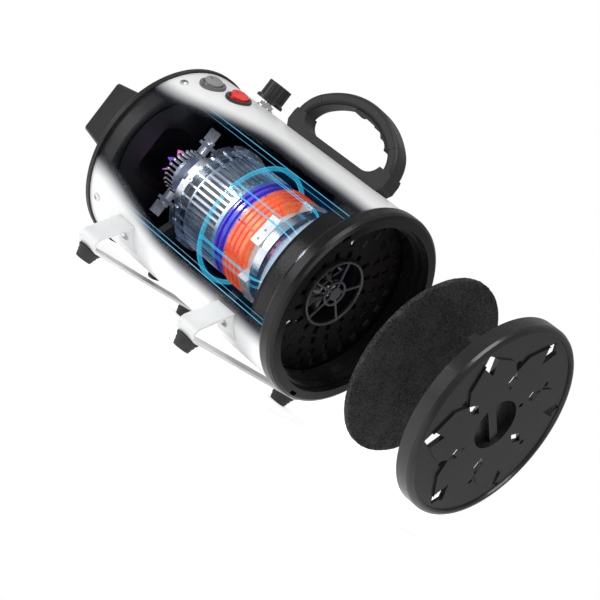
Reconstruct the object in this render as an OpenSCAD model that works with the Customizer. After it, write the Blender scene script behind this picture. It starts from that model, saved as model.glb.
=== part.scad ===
// Cylindrical car dryer blower, shown with its rear cover and intake filter drawn back along the axis.
// +Z is up, the blower's axis runs along Y, the hose outlet faces -Y and the intake faces +Y.
// Modules are drawn about the middle of the body; placed() then stands it on the floor.

/* [Overall] */
// Outside diameter of the front and rear rims
body_d = 180; // [150:1:220]
// Length of the body from the front rim to the rear rim
body_len = 264; // [220:1:320]
// Steel wall of the tube
shell_t = 1.2; // [0.8:0.1:2]
// How far the rims stand out of the tube
rim_step = 2; // [1.5:0.1:3]

/* [Outlet] */
// Length of the square duct in front of the front rim
port_len = 78; // [50:1:100]
// Side of the duct at its open end
port_end = 52; // [48:1:64]
// Side of the duct at its foot
port_foot = 74; // [66:1:84]
// Bore that takes the hose
hose_bore_d = 40; // [34:0.5:44]
// Depth of the hose bore
hose_bore_len = 32; // [20:1:40]

/* [Rear cover and filter] */
// How far the rear cover's edge lies inside the rear rim
cover_inset = 3; // [2:0.5:4]
// Thickness of the rear cover at its rim
cover_t = 16; // [14:0.5:20]
// Thickness of the cover's face plate
plate_t = 4.2; // [3.5:0.1:7]
// Height of the star that stands on the cover's face
star_rise = 1.6; // [0.8:0.1:2]
// How far the rear cover is drawn back
cover_pull = 148; // [60:1:200]
// How far the filter is drawn back
filter_pull = 78; // [20:1:110]
// Thickness of the foam filter
foam_t = 6; // [3:0.1:6]

/* [Handle] */
// Length of the handle over its two ends
handle_len = 122; // [110:1:150]
// Height of the handle above the tube
handle_h = 58; // [52:1:70]
// Width of the handle
handle_w = 19; // [16:1:28]
// Thickness of the hoop
hoop_t = 11; // [9:0.5:14]
// Middle of the handle along the axis
handle_y = 21.5; // [0:0.5:30]

/* [Controls] */
// Station of the speed knob
knob_y = -76; // [-84:0.5:-66]
// Diameter of the knob
knob_d = 23; // [18:0.5:28]
// Height of the knob's body
knob_h = 16; // [12:0.5:20]
// Station of the power rocker
power_y = -73; // [-73:0.5:-60]
// Angle of the power rocker from the top
power_a = 26; // [22:1:34]
// Gap along the axis between the two rockers' flanges
heat_gap = 3; // [2:0.5:6]
// Angle of the heat rocker from the top
heat_a = 31; // [24:1:34]
// Diameter of the rocker switches' flanges
bezel_d = 24; // [22:0.5:26]

/* [Legs] */
// Width of each steel strap
strap_w = 22; // [16:1:30]
// Sheet thickness of the straps
strap_t = 2; // [1.5:0.1:3]
// Station of the front strap
front_leg_y = -68; // [-90:1:-50]
// Station of the rear strap
rear_leg_y = 72; // [50:1:90]
// Clearance between the tube's underside and the bars
bar_gap = 8; // [5:0.5:14]
// Height of the rubber feet
foot_h = 10.5; // [9:0.5:16]
// Diameter of the feet at the top
foot_d = 22; // [18:0.5:26]

/* [Motor] */
// Diameter of the finned stator
core_d = 96; // [84:1:100]
// Outside diameter of the clear motor tube
tube_d = 114; // [108:1:126]
// Number of cooling fins on the stator
fin_count = 54; // [36:1:60]
// Number of blades on the impeller
blade_count = 11; // [7:1:13]

/* [Hidden] */
$fn = 64;
eps = 0.02;
slip = 0.1;
shell_r = body_d / 2 - rim_step;
inner_r = shell_r - shell_t;
rim_r = body_d / 2;
y_front = -body_len / 2;
y_rear = body_len / 2;
rim_w = 8;
plug_r = inner_r - slip;
port_y = y_front - port_len;
port_r = hose_bore_d / 2;
screw_y = y_front + 19;
face_in_r = rim_r - 11;
cover_r = rim_r - cover_inset;
cover_y = y_rear + cover_pull;
cover_in_r = cover_r - 4.5;
foam_y = y_rear + 0.3 + filter_pull;
foam_r = cover_in_r - 1.5;
lug_r = (cover_in_r + cover_r) / 2;
hoop_z = shell_r + 14;
hoop_b = handle_h - 14;
hoop_end_r = hoop_b - 10;
hoop_c = handle_len / 2 - hoop_end_r;
hoop_top_r = (hoop_c * hoop_c + hoop_b * hoop_b - hoop_end_r * hoop_end_r) / (2 * (hoop_b - hoop_end_r));
hoop_top_z = hoop_z + hoop_b - hoop_top_r;
hoop_a = round(atan2(hoop_c, hoop_z - hoop_top_z) * 10) / 10;
hoop_cut = hoop_z + 4;
bar_z = -shell_r - bar_gap;
bend_r = 8;
bend_steps = 12;
bend_x = shell_r * 0.932;
run_len = shell_r * 0.45;
foot_x = bend_x - foot_d / 2 + 8;
foot_z = bar_z - strap_t;
leg_a = 135;
tube_r = tube_d / 2;
core_r = core_d / 2;
tube_t = 2;
m_tip = y_front + 13;
m_comm = y_front + 25;
m_skirt = m_comm + 10;
m_neck = y_front + 47;
m_ring = y_front + 74;
m_core = y_front + 82;
m_coil = y_front + 132;
m_copper = y_front + 146;
m_bobbin = y_front + 170;
m_plate = y_front + 182;
m_hub = m_plate + 8;
m_fan = y_front + 210;
comm_r = 20;
m_grille = y_rear - 33;
shaft_r = 4;
fan_r = 26;
rocker_r = bezel_d / 2 - 3.4;
pivot_r = 1.4;
pivot_z = 1.6;
rocker_tip = 8;
knob_gap = 6;
heat_y = power_y - bezel_d - heat_gap;
shank_r = 1.9;
ring_screw_a = [200, 270, 340];

placed() barrel_shell();
placed() front_cover();
placed() outlet_port();
placed() port_gasket();
placed() cover_screws();
placed() rear_ring();
placed() ring_screws();
placed() intake_grille();
placed() fan_guard();
placed() intake_cone();
placed() handle_base();
placed() handle_front_clip();
placed() handle_grip();
placed() handle_rear_clip();
placed() grip_pad();
placed() handle_screws();
placed() front_leg();
placed() rear_leg();
placed() leg_screws();
placed() rubber_feet();
placed() foot_screws();
placed() power_bezel();
placed() heat_bezel();
placed() speed_control();
placed() knob_nut();
placed() control_board();
placed() cord_gland();
placed() motor_tube();
placed() motor_mounts();
placed() front_bracket();
placed() brush_holders();
placed() brushes();
placed() brush_springs();
placed() front_bearing();
placed() stator_ring();
placed() stator_core();
placed() stator_fins();
placed() coil_former();
placed() field_coils();
placed() coil_blocks();
placed() bearing_plate();
placed() rear_bearing();
placed() motor_shaft();
placed() armature();
placed() armature_winding();
placed() commutator();
placed() commutator_skirt();
placed() nose_spinner();
placed() impeller();
placed() fan_nut();
placed() speed_knob();
placed() power_rocker();
placed() heat_rocker();
placed() foam_filter();
placed() rear_cover();

// ---- helpers ----

// Stands the blower on its feet, with the origin under the middle of its outline
module placed() {
  translate([0, -(port_y + cover_y + cover_t) / 2, foot_h - foot_z]) children();
}

// Disc on the blower's axis from y0 to y1
module disc(y0, y1, r) {
  translate([0, y0, 0])
    rotate([-90, 0, 0]) cylinder(h = y1 - y0, r = r);
}

// Frustum on the blower's axis
module taper(y0, y1, r0, r1) {
  translate([0, y0, 0])
    rotate([-90, 0, 0]) cylinder(h = y1 - y0, r1 = r0, r2 = r1);
}

// Plain ring on the blower's axis
module band(y0, y1, ro, ri) {
  difference() {
    disc(y0, y1, ro);
    disc(y0 - 1, y1 + 1, ri);
  }
}

// Profile of [radius, y] pairs turned around the blower's axis
module lathe(pts) {
  rotate([-90, 0, 0])
    rotate_extrude() polygon(pts);
}

// Flat shape drawn in X and Z, standing from y0 to y1
module slab(y0, y1) {
  translate([0, y1, 0])
    rotate([90, 0, 0])
      linear_extrude(y1 - y0) children();
}

// Flat shape drawn in Y and Z, standing from x0 to x1
module side_slab(x0, x1) {
  translate([x0, 0, 0])
    rotate([90, 0, 90])
      linear_extrude(x1 - x0) children();
}

// Copies turned around the blower's axis
module around(n, a0 = 0) {
  for (i = [0 : n - 1])
    rotate([0, a0 + i * 360 / n, 0]) children();
}

// Seat on the tube's outside: local Z points out, local Y runs along the axis
module on_shell(y, a, r = shell_r) {
  translate([0, y, 0])
    rotate([0, a, 0])
      translate([0, 0, r]) children();
}

// Cross-head screw with its head above z = 0 and its shank below
module cross_screw(head_r, head_h, len) {
  difference() {
    union() {
      intersection() {
        cylinder(h = head_h, r = head_r, $fn = 32);
        translate([0, 0, head_h - head_r * 1.8]) sphere(r = head_r * 1.8, $fn = 48);
      }
      translate([0, 0, -len]) cylinder(h = len + eps, r = shank_r - slip, $fn = 24);
    }
    for (a = [0, 90])
      rotate([0, 0, a + 20])
        translate([-head_r * 0.62, -0.45, head_h - 1.3])
          cube([head_r * 1.24, 0.9, 2]);
  }
}

// Rounded rectangle built from plain shapes
module soft_rect(w, h, r) {
  square([w - 2 * r, h], center = true);
  square([w, h - 2 * r], center = true);
  for (sx = [-1, 1])
    for (sy = [-1, 1])
      translate([sx * (w / 2 - r), sy * (h / 2 - r)]) circle(r = r, $fn = 32);
}

// ---- shell and covers ----

module barrel_shell() {
  color([0.86, 0.86, 0.86])
    difference() {
      band(y_front + rim_w, y_rear - 16, shell_r, inner_r);
      around(4, 45)
        translate([0, screw_y, inner_r - 4]) cylinder(h = 10, r = shank_r, $fn = 24);
      on_shell(power_y, power_a, inner_r - 4) cylinder(h = 12, r = bezel_d / 2 - 1.9);
      on_shell(heat_y, heat_a, inner_r - 4) cylinder(h = 12, r = bezel_d / 2 - 1.9);
      on_shell(knob_y, 0, inner_r - 4) cylinder(h = 12, r = 4.2);
      on_shell(y_front + 46, 200, inner_r - 4) cylinder(h = 12, r = 8.2);
      for (y = [handle_y - 38, handle_y + 38])
        on_shell(y, 0, inner_r - 4) cylinder(h = 12, r = shank_r, $fn = 24);
      for (y = [front_leg_y, rear_leg_y])
        for (s = [-1, 1])
          on_shell(y, s * (leg_a + 9), inner_r - 4) cylinder(h = 12, r = shank_r, $fn = 24);
      for (a = ring_screw_a)
        on_shell(y_rear - 22, a, inner_r - 4) cylinder(h = 10, r = shank_r, $fn = 24);
    }
}

module front_cover() {
  color([0.11, 0.11, 0.115])
    difference() {
      union() {
        lathe([[0, y_front + 5], [0, y_front], [port_foot * 0.72, y_front],
               [rim_r - 5, y_front + 1], [rim_r - 1.5, y_front + 2.2], [rim_r, y_front + 4],
               [rim_r, y_front + rim_w], [plug_r, y_front + rim_w], [plug_r, screw_y + 6],
               [plug_r - 3, screw_y + 6], [plug_r - 3, y_front + 7], [plug_r - 6, y_front + 5]]);
        for (r = [plug_r * 0.66, plug_r * 0.82])
          band(y_front + 5 - eps, y_front + 7, r + 1, r - 1);
      }
      slab(y_front - 2, y_front + 8)
        square([port_foot - 14, port_foot - 14], center = true);
      around(4, 45)
        translate([0, screw_y, plug_r - 6]) cylinder(h = 10, r = shank_r, $fn = 24);
      on_shell(heat_y, heat_a, plug_r - 20) cylinder(h = 30, r = bezel_d / 2 - 1.5);
    }
}

// Square funnel from two crossed wedges, with its long edges rounded by a cone
module port_body(foot, end, r0, r1, y0, y1) {
  intersection() {
    translate([0, 0, -foot])
      linear_extrude(2 * foot)
        polygon([[-foot / 2, y1], [foot / 2, y1], [end / 2, y0], [-end / 2, y0]]);
    side_slab(-foot, foot)
      polygon([[y1, -foot / 2], [y1, foot / 2], [y0, end / 2], [y0, -end / 2]]);
    taper(y0, y1, r0, r1);
  }
}

module outlet_port() {
  color([0.12, 0.12, 0.125])
    difference() {
      port_body(port_foot, port_end, port_end * 0.68, port_foot * 0.68, port_y, y_front - 1.5);
      disc(port_y - 1, port_y + hose_bore_len, port_r);
      taper(port_y + hose_bore_len - eps, y_front - 1.4, port_r, port_foot / 2 - 8);
    }
}

module port_gasket() {
  color([0.05, 0.05, 0.05])
    slab(y_front - 1.5, y_front)
      difference() {
        soft_rect(port_foot - 2, port_foot - 2, 8);
        square([port_foot - 13, port_foot - 13], center = true);
      }
}

module cover_screws() {
  color([0.7, 0.7, 0.72])
    around(4, 45)
      translate([0, screw_y, shell_r + slip]) cross_screw(3.6, 2, 8);
}

module rear_ring() {
  y1 = y_rear;
  color([0.09, 0.09, 0.095])
    difference() {
      lathe([[plug_r, y1 - 30], [plug_r, y1 - 16], [rim_r - 1.6, y1 - 16], [rim_r, y1 - 13],
             [rim_r, y1 - 5], [rim_r - 1, y1 - 1.6], [rim_r - 3.4, y1], [face_in_r, y1],
             [face_in_r, y1 - 5], [face_in_r - 3, y1 - 5], [face_in_r - 3, y1 - 12],
             [face_in_r - 5, y1 - 12], [face_in_r - 5, y1 - 26], [plug_r - 6, y1 - 30]]);
      for (a = ring_screw_a)
        on_shell(y1 - 22, a, face_in_r - 8) cylinder(h = 20, r = shank_r, $fn = 24);
      around(3, 180)
        translate([-4, y1 - 7, lug_r - 1.8]) cube([8, 8, 3.6]);
    }
}

module ring_screws() {
  color([0.7, 0.7, 0.72])
    for (a = ring_screw_a)
      on_shell(y_rear - 22, a, shell_r + slip) cross_screw(3.6, 2, 8);
}

module intake_grille() {
  color([0.06, 0.06, 0.065])
    difference() {
      disc(m_grille, m_grille + 3, plug_r);
      disc(m_grille - 1, m_grille + 4, fan_r + 2);
      for (k = [0 : 3])
        around(16 + 4 * k, k * 7)
          translate([-2.4 - k * 0.4, m_grille - 1, fan_r + 7 + k * 11]) cube([4.8 + k * 0.8, 5, 7.6]);
    }
}

module fan_guard() {
  color([0.16, 0.16, 0.17]) {
    for (r = [fan_r * 0.42, fan_r + 4])
      translate([0, m_grille + 5.2, 0])
        rotate([-90, 0, 0])
          rotate_extrude() translate([r, 0]) circle(r = 1.15, $fn = 16);
    around(5, 20)
      translate([0, m_grille + 5.2, 5]) cylinder(h = fan_r, r = 1.1, $fn = 16);
    disc(m_grille + 4, m_grille + 6.4, 6);
    around(5, 20)
      translate([0, m_grille + 3, fan_r + 4]) rotate([-90, 0, 0]) cylinder(h = 2.2, r = 1.6, $fn = 16);
  }
}

module intake_cone() {
  color([0.05, 0.05, 0.055])
    lathe([[fan_r + 0.9, m_fan - 2], [fan_r + 0.9, m_grille - 9], [fan_r + 3, m_grille - 3],
           [fan_r + 7, m_grille], [fan_r + 12, m_grille], [fan_r + 12, m_grille - 2],
           [fan_r + 8, m_grille - 3], [fan_r + 3.4, m_grille - 9], [fan_r + 3.4, m_fan - 2]]);
}

// ---- handle ----

// Arc of the hoop around X through its middle line, from angle a0 to a1, counted from +Y towards +Z
module hoop_arc(yc, zc, r, a0, a1) {
  translate([0, yc, zc])
    rotate([a0, 0, 0])
      rotate([0, 90, 0])
        rotate([0, 0, 90])
          rotate_extrude(angle = a1 - a0, $fn = 96)
            translate([r - hoop_t / 2, 0]) soft_rect(hoop_t, handle_w, 3.6);
}

module handle_base() {
  y0 = handle_y - handle_len / 2;
  y1 = handle_y + handle_len / 2;
  floor_z = shell_r + 7;
  dip = 14;
  color([0.16, 0.16, 0.165])
    difference() {
      side_slab(-handle_w / 2, handle_w / 2)
        polygon([[y0 + 5, shell_r - 4], [y1 - 5, shell_r - 4], [y1 + 1, shell_r + 5], [y1 + 1, hoop_cut - 4],
                 [y1 - 0.2, hoop_cut], [y0 + 0.2, hoop_cut], [y0 - 1, hoop_cut - 4], [y0 - 1, shell_r + 5]]);
      disc(y0 - 5, y1 + 5, shell_r + slip);
      for (y = [y0 + hoop_t + 0.6 + dip, y1 - hoop_t - 3 - dip])
        translate([-handle_w, y, floor_z + dip])
          rotate([0, 90, 0]) cylinder(h = 2 * handle_w, r = dip);
      translate([-handle_w, y0 + hoop_t + 0.6 + dip, floor_z])
        cube([2 * handle_w, y1 - y0 - 2 * hoop_t - 3.6 - 2 * dip, 40]);
      for (y = [handle_y - 38, handle_y + 38])
        translate([0, y, shell_r - 3]) cylinder(h = 8.2, r = shank_r, $fn = 24);
    }
}

// Cuts the hoop above its seat on the base
module above_seat() {
  intersection() {
    children();
    translate([-50, -body_len, hoop_cut]) cube([100, 2 * body_len, 200]);
  }
}

module handle_front_clip() {
  color([0.14, 0.14, 0.145])
    above_seat() hoop_arc(handle_y - hoop_c, hoop_z, hoop_end_r, 90 + hoop_a + 0.5, 190);
}

module handle_grip() {
  color([0.13, 0.13, 0.135])
    hoop_arc(handle_y, hoop_top_z, hoop_top_r, 90 - hoop_a, 90 + hoop_a);
}

module handle_rear_clip() {
  color([0.14, 0.14, 0.145])
    above_seat() hoop_arc(handle_y + hoop_c, hoop_z, hoop_end_r, -10, 90 - hoop_a - 0.5);
}

module grip_pad() {
  r1 = hoop_top_r - hoop_t - slip;
  r0 = r1 - 3;
  color([0.07, 0.07, 0.07])
    difference() {
      translate([0, handle_y, hoop_top_z])
        rotate([92 - hoop_a, 0, 0])
          rotate([0, 90, 0])
            rotate([0, 0, 90])
              rotate_extrude(angle = hoop_a + 8, $fn = 96)
                translate([r0, -handle_w * 0.36]) square([r1 - r0, handle_w * 0.72]);
      for (a = [57.5 : 11.5 : 92])
        translate([-20, handle_y + cos(a) * (r0 - 8.4), hoop_top_z + sin(a) * (r0 - 8.4)])
          rotate([0, 90, 0]) cylinder(h = 40, r = 10);
    }
}

module handle_screws() {
  color([0.6, 0.6, 0.62])
    for (y = [handle_y - 38, handle_y + 38])
      translate([0, y, inner_r - slip - 0.2])
        rotate([180, 0, 0]) cross_screw(3.4, 2, 6);
}

// ---- legs and feet ----

// Points of a bend's arc of radius r on the side s, from the bar to the oblique run
function bend_arc(s, r) =
  [for (i = [0 : bend_steps])
    let (a = -90 + (i * 135) / bend_steps)
      [s * (bend_x + r * cos(a)), bar_z - strap_t + bend_r + r * sin(a)]];

// End of an oblique run that starts at radius r of the bend on the side s
function run_end(s, r) =
  [s * (bend_x + (r - run_len) * cos(45)), bar_z - strap_t + bend_r + (r + run_len) * sin(45)];

function reversed(list) = [for (i = [len(list) - 1 : -1 : 0]) list[i]];

// Bar, both bends and both oblique runs as one outline in X and Z
module strap_outline() {
  r_in = bend_r - strap_t;
  polygon(concat(
    bend_arc(1, bend_r), [run_end(1, bend_r), run_end(1, r_in)], reversed(bend_arc(1, r_in)),
    bend_arc(-1, r_in), [run_end(-1, r_in), run_end(-1, bend_r)], reversed(bend_arc(-1, bend_r))
  ));
}

// Tab that lies against the tube beside the run on the side s
module strap_tab(s) {
  intersection() {
    difference() {
      circle(r = shell_r + slip + strap_t);
      circle(r = shell_r + slip);
    }
    polygon([[0, 0], [s * sin(leg_a - 0.8) * 200, cos(leg_a - 0.8) * 200],
             [s * sin(leg_a + 18) * 200, cos(leg_a + 18) * 200]]);
  }
}

module strap(y) {
  color([0.85, 0.85, 0.85])
    difference() {
      slab(y - strap_w / 2, y + strap_w / 2) {
        difference() {
          strap_outline();
          circle(r = shell_r + slip);
        }
        strap_tab(1);
        strap_tab(-1);
      }
      for (s = [-1, 1]) {
        translate([s * foot_x, y, foot_z - 1]) cylinder(h = 8, r = shank_r, $fn = 24);
        on_shell(y, s * (leg_a + 9), shell_r - 2) cylinder(h = 8, r = shank_r, $fn = 24);
      }
    }
}

module front_leg() {
  strap(front_leg_y);
}

module rear_leg() {
  strap(rear_leg_y);
}

module leg_screws() {
  color([0.7, 0.7, 0.72])
    for (y = [front_leg_y, rear_leg_y])
      for (s = [-1, 1])
        on_shell(y, s * (leg_a + 9), shell_r + strap_t + 2 * slip) cross_screw(3.4, 2, 6);
}

module rubber_feet() {
  color([0.09, 0.09, 0.09])
    for (y = [front_leg_y, rear_leg_y])
      for (s = [-1, 1])
        translate([s * foot_x, y, foot_z - foot_h])
          difference() {
            union() {
              cylinder(h = foot_h, r1 = foot_d * 0.34, r2 = foot_d / 2 - 0.8, $fn = 40);
              for (k = [0 : 2])
                translate([0, 0, foot_h * (0.2 + 0.28 * k)])
                  cylinder(h = foot_h * 0.16, r = foot_d * (0.38 + 0.045 * k), $fn = 40);
              translate([0, 0, foot_h - 1]) cylinder(h = 1, r = foot_d / 2, $fn = 40);
            }
            translate([0, 0, -1]) cylinder(h = 6, r = 3.7, $fn = 24);
            cylinder(h = foot_h + 1, r = shank_r, $fn = 24);
          }
}

module foot_screws() {
  color([0.6, 0.6, 0.62])
    for (y = [front_leg_y, rear_leg_y])
      for (s = [-1, 1])
        translate([s * foot_x, y, foot_z - foot_h + 5])
          rotate([180, 0, 0]) cross_screw(3.5, 2.2, foot_h - 5 + strap_t + 3);
}

// ---- controls ----

module switch_bezel(y, a) {
  r = bezel_d / 2;
  difference() {
    on_shell(y, a)
      union() {
        translate([0, 0, -12]) cylinder(h = 12.5, r = r - 2);
        translate([0, 0, -2]) cylinder(h = 4.2, r = r - 0.5);
        translate([0, 0, -2]) cylinder(h = 3.4, r = r);
        translate([-7, -7, -18]) cube([14, 14, 6 + eps]);
        for (x = [-4, 4])
          translate([x - 0.4, -2, -24]) cube([0.8, 4, 6 + eps]);
      }
    difference() {
      disc(y - 20, y + 20, shell_r + slip);
      on_shell(y, a, 0) cylinder(h = 200, r = r - 2);
    }
    on_shell(y, a) {
      translate([0, 0, pivot_z - rocker_r - 1]) cylinder(h = 20, r = rocker_r + 0.3);
      translate([-12, 0, pivot_z]) rotate([0, 90, 0]) cylinder(h = 24, r = pivot_r + 0.05, $fn = 24);
    }
  }
}

module power_bezel() {
  color([0.07, 0.07, 0.07]) switch_bezel(power_y, power_a);
}

module heat_bezel() {
  color([0.3, 0.3, 0.3]) switch_bezel(heat_y, heat_a);
}

// Round rocker inside a sphere about its pivot, so that it tips without touching the flange.
// It rests tipped to its off side.
module rocker(y, a) {
  on_shell(y, a)
    translate([0, 0, pivot_z]) rotate([-rocker_tip, 0, 0]) {
      difference() {
        intersection() {
          sphere(r = rocker_r);
          translate([0, 0, -rocker_r + 0.6]) cylinder(h = 2 * rocker_r, r = rocker_r - 0.5);
          translate([-20, -20, -6]) cube([40, 40, 9.4]);
        }
        translate([-20, 0, 3]) rotate([6, 0, 0]) cube([40, 20, 6]);
        translate([-20, 0, 3]) rotate([-6, 0, 0]) translate([0, -20, 0]) cube([40, 20, 6]);
        translate([-0.6, -6.4, 1.9]) cube([1.2, 4, 3]);
      }
      rotate([0, 90, 0])
        translate([0, 0, -9.8]) cylinder(h = 19.6, r = pivot_r, $fn = 24);
    }
}

module power_rocker() {
  color([0.8, 0.06, 0.04]) rocker(power_y, power_a);
}

module heat_rocker() {
  color([0.42, 0.42, 0.43]) rocker(heat_y, heat_a);
}

module speed_control() {
  color([0.55, 0.56, 0.58])
    translate([0, knob_y, shell_r])
      difference() {
        union() {
          translate([0, 0, -14]) cylinder(h = 10, r = 10);
          translate([0, 0, -4 - eps]) cylinder(h = knob_gap + 3.4, r = 4);
          translate([-5, 8, -13]) cube([10, 8, 1.6]);
        }
        translate([0, 0, -10]) cylinder(h = 20, r = 3.05);
      }
}

module knob_nut() {
  color([0.72, 0.72, 0.74])
    difference() {
      translate([0, knob_y, shell_r]) {
        translate([0, 0, -1]) cylinder(h = 1.9, r = 8);
        translate([0, 0, 0.8]) cylinder(h = 3.4, r = 6.6, $fn = 6);
      }
      translate([0, knob_y, shell_r - 3]) cylinder(h = 12, r = 4 + slip);
      disc(knob_y - 20, knob_y + 20, shell_r + slip);
    }
}

module speed_knob() {
  r = knob_d / 2;
  color([0.05, 0.05, 0.05])
    translate([0, knob_y, shell_r])
      difference() {
        union() {
          translate([0, 0, -8]) cylinder(h = knob_gap + 9, r = 3);
          translate([0, 0, knob_gap]) cylinder(h = 2.4, r = r + 1.8);
          translate([0, 0, knob_gap + 2.4 - eps]) cylinder(h = 1.2, r1 = r + 1.8, r2 = r);
          translate([0, 0, knob_gap + 2]) cylinder(h = knob_h, r = r);
        }
        for (i = [0 : 17])
          rotate([0, 0, i * 20 + 10])
            translate([r + 0.5, 0, knob_gap + 4.4]) cylinder(h = knob_h, r = 1.3, $fn = 16);
        translate([0, 0, knob_gap + 1 + knob_h]) cylinder(h = 2, r = r - 3.2);
        translate([-0.7, -r, knob_gap + 0.4 + knob_h]) cube([1.4, r * 0.55, 3]);
      }
}

module control_board() {
  z = tube_r + 3.5;
  x0 = -inner_r * 0.46;
  y0 = knob_y - 27;
  color([0.08, 0.25, 0.13]) {
    translate([x0, y0, z]) cube([inner_r * 0.62, 62, 1.6]);
    translate([x0 + 2, y0 + 6, z + 1.6 - eps]) cube([14, 18, 8]);
    translate([x0 + 4, y0 + 34, z + 1.6 - eps]) cube([12, 20, 8]);
    intersection() {
      for (x = [x0 + 4, x0 + inner_r * 0.62 - 4])
        for (y = [y0 + 3, y0 + 58])
          translate([x, y, z + 1.6 - eps]) cylinder(h = 40, r = 2.4, $fn = 24);
      disc(y0 - 1, y0 + 70, inner_r - slip);
    }
  }
}

module cord_gland() {
  color([0.07, 0.07, 0.07])
    difference() {
      on_shell(y_front + 46, 200)
        union() {
          translate([0, 0, -8]) cylinder(h = 9, r = 8);
          translate([0, 0, -1]) cylinder(h = 4, r = 11);
          translate([0, 0, 2]) cylinder(h = 9, r1 = 8, r2 = 6.4);
        }
      difference() {
        disc(y_front + 26, y_front + 66, shell_r + slip);
        on_shell(y_front + 46, 200, 0) cylinder(h = 200, r = 8);
      }
      on_shell(y_front + 46, 200, shell_r - 10) cylinder(h = 30, r = 4.2);
    }
}

// ---- motor ----

module motor_tube() {
  y0 = m_coil - 6;
  y1 = m_plate + 22;
  r = tube_r;
  color([0.5, 0.8, 0.95, 0.35]) {
    lathe([[r, y0], [r, y1 - 12], [r - 1.6, y1 - 7], [r - 5, y1 - 2.6], [r - 10, y1],
           [r - 10, y1 - tube_t], [r - 6, y1 - tube_t - 2], [r - 3.2, y1 - 8],
           [r - tube_t, y1 - 13], [r - tube_t, y0]]);
    band(y0 - 2, y0 + 2, r + 1.2, r - tube_t - 0.6);
  }
}

// Rubber blocks at the angles given, from radius r to the tube's wall
module mount_set(angles, y, w, r) {
  for (a = angles)
    difference() {
      rotate([0, a, 0]) translate([-7, y, r - 6]) cube([14, w, inner_r - r + 12]);
      disc(y - 1, y + w + 1, r);
      band(y - 1, y + w + 1, inner_r + 30, inner_r - slip - 0.2);
    }
}

module motor_mounts() {
  color([0.06, 0.06, 0.06]) {
    mount_set([-45, 150, 250], m_ring + 0.5, 7, core_r + 3 + slip);
    mount_set([-15, 160, 255], m_bobbin, 10, tube_r + slip);
  }
}

module front_bracket() {
  color([0.42, 0.45, 0.5])
    difference() {
      union() {
        lathe([[11.1, m_neck], [14, m_neck], [17, m_neck + 2.6], [27, m_ring - 0.6],
               [core_r - 10, m_ring - 0.6], [core_r - 10, m_ring + 1.6], [30, m_ring + 1.6],
               [27, m_ring + 1.2], [15.5, m_neck + 5.4], [11.1, m_neck + 5.4]]);
        around(2)
          translate([-5, m_comm - 1, comm_r + 9]) cube([10, m_ring - m_comm + 1, 3]);
      }
      around(8, 22.5)
        translate([-4, m_ring - 6, 29]) cube([8, 10, 5.5]);
      around(2)
        translate([0, m_comm + 5, 10]) cylinder(h = 30, r = 4.6);
    }
}

module brush_holders() {
  color([0.75, 0.62, 0.3])
    around(2)
      difference() {
        union() {
          translate([0, m_comm + 5, comm_r + 1]) cylinder(h = 13, r = 4.5, $fn = 40);
          translate([-0.9, m_comm - 3, comm_r + 14 - eps]) cube([1.8, 12, 12]);
          translate([-4, m_comm + 2, comm_r + 14 - eps]) cube([8, 6, 1.6]);
        }
        translate([-2.1, m_comm + 2.4, comm_r]) cube([4.2, 5.2, 12.6]);
      }
}

module brushes() {
  color([0.12, 0.12, 0.13])
    around(2)
      translate([-2, m_comm + 2.5, comm_r + 0.2]) cube([4, 5, 7]);
}

module brush_springs() {
  color([0.75, 0.75, 0.77])
    around(2)
      for (k = [0 : 3])
        translate([0, m_comm + 5, comm_r + 7.3 + k * 1.25])
          difference() {
            cylinder(h = 1.25 + (k < 3 ? eps : 0), r = k % 2 == 0 ? 1.9 : 1.3, $fn = 24);
            translate([0, 0, -1]) cylinder(h = 5, r = 0.7, $fn = 16);
          }
}

module ball_bearing(y, w, ro, ri) {
  band(y, y + w, ro, ro - 2);
  band(y, y + w, ri + 2, ri);
  band(y + w * 0.3, y + w * 0.7, ro - 1.9, ri + 1.9);
}

module front_bearing() {
  color([0.75, 0.76, 0.78]) ball_bearing(m_neck + 0.7, 4, 11, shaft_r + 0.05);
}

module stator_ring() {
  color([0.74, 0.75, 0.78])
    difference() {
      union() {
        band(m_ring, m_core, core_r + 3, core_r - 9.9);
        around(6, 15)
          translate([-7, m_ring - 2.6, core_r - 6]) cube([14, 4, 6]);
      }
      around(12)
        translate([-3.2, m_ring - 1, core_r - 0.4]) cube([6.4, 4.4, 8]);
      around(24)
        translate([-1.2, m_ring + 5.4, core_r + 1.4]) cube([2.4, 4, 4]);
    }
}

module stator_core() {
  color([0.1, 0.1, 0.11])
    difference() {
      disc(m_core, m_coil, core_r - 3);
      disc(m_core - 1, m_coil + 1, 29.5);
      around(4, 45)
        translate([-6, m_core - 1, 25]) cube([12, m_coil - m_core + 2, 9]);
    }
}

module stator_fins() {
  color([0.72, 0.75, 0.8])
    difference() {
      union() {
        around(fin_count)
          translate([-1.1, m_core + 9, core_r - 3.4]) cube([2.2, m_coil - m_core - 12, 3]);
        around(fin_count / 2)
          translate([-0.8, m_core + 0.3, core_r - 3.4]) cube([1.6, 10, 2.2]);
        band(m_core + 8, m_core + 9.6, core_r - 0.5, core_r - 3.4);
        band(m_coil - 4, m_coil - 0.2, core_r - 0.5, core_r - 3.4);
      }
      disc(m_core - 1, m_coil + 1, core_r - 3 + slip);
    }
}

module coil_former() {
  color([0.16, 0.2, 0.75])
    difference() {
      union() {
        band(m_coil, m_copper, core_r - 4, 29);
        for (k = [0 : 3])
          band(m_coil + 1.5 + k * 3.2, m_coil + 3.2 + k * 3.2, core_r - 0.6 - k % 2 * 1.6, core_r - 6);
      }
      around(8, 22.5)
        translate([-2, m_coil - 1, core_r - 10]) cube([4, 18, 4]);
    }
}

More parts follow.
